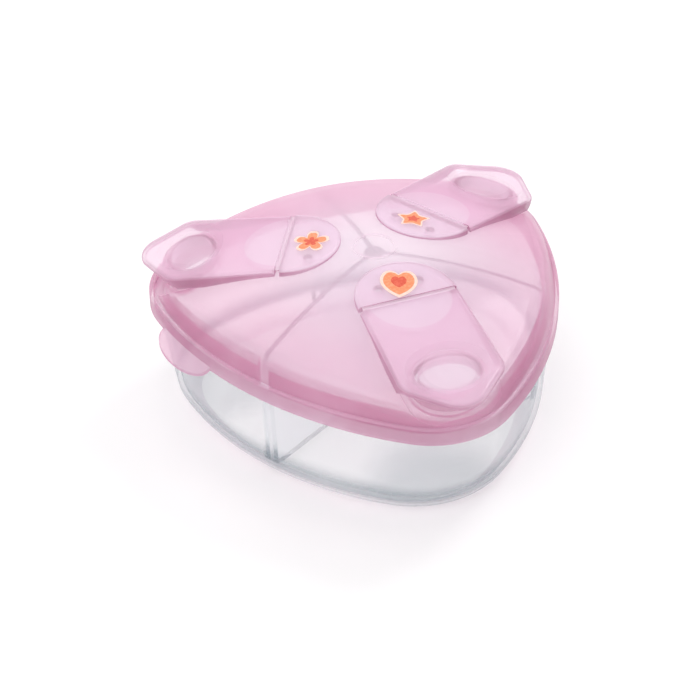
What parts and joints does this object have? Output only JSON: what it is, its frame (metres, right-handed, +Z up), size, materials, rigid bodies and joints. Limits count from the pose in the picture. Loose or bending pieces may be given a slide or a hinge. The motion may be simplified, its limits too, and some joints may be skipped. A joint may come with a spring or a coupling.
{
  "type": "milk powder container",
  "caption": "Lidded tub in the form of a rounded triangle, split by upright vanes, with hinged pour flaps over oval holes in a domed lid.",
  "frame": {"origin": "middle of the tub's flat underside, on the lid's threefold axis", "axes": "+Z up out of the lid; -Y towards the corner that carries flap 1; +X to the right of it seen from outside that corner"},
  "size_m": [0.1307, 0.1286, 0.0565],
  "materials": {
    "clear_tub": "clear moulded polypropylene, slightly milky, gloss",
    "clear_divider": "clear moulded polypropylene, slightly milky",
    "pink_lid": "translucent pink moulded polypropylene, satin gloss",
    "pink_flap": "translucent pale pink moulded polypropylene, satin gloss"
  },
  "bodies": {
    "base": {"tub": "clear_tub", "divider": "clear_divider"},
    "lid": {"lid": "pink_lid", "flap_head_1": "pink_flap", "flap_film_1": "pink_flap", "flap_head_2": "pink_flap", "flap_film_2": "pink_flap", "flap_head_3": "pink_flap", "flap_film_3": "pink_flap"},
    "flap_1": {"flap_door_1": "pink_flap"},
    "flap_2": {"flap_door_2": "pink_flap"},
    "flap_3": {"flap_door_3": "pink_flap"}
  },
  "joints": [
    {"name": "lid_lift", "type": "slide", "parent": "base", "child": "lid", "axis": [0, 0, 1], "range_m": [0, 0.08]},
    {"name": "flap_1_hinge", "type": "hinge", "parent": "lid", "child": "flap_1", "pos_m": [0, -0.02734, 0.05413], "axis": [-1, 0, 0], "range_deg": [0, 115], "deforming": ["flap_film_1"]},
    {"name": "flap_2_hinge", "type": "hinge", "parent": "lid", "child": "flap_2", "pos_m": [0.02368, 0.01367, 0.05413], "axis": [0.5, -0.866, 0], "range_deg": [0, 115], "deforming": ["flap_film_2"]},
    {"name": "flap_3_hinge", "type": "hinge", "parent": "lid", "child": "flap_3", "pos_m": [-0.02368, 0.01367, 0.05413], "axis": [0.5, 0.866, 0], "range_deg": [0, 115], "deforming": ["flap_film_3"]}
  ]
}
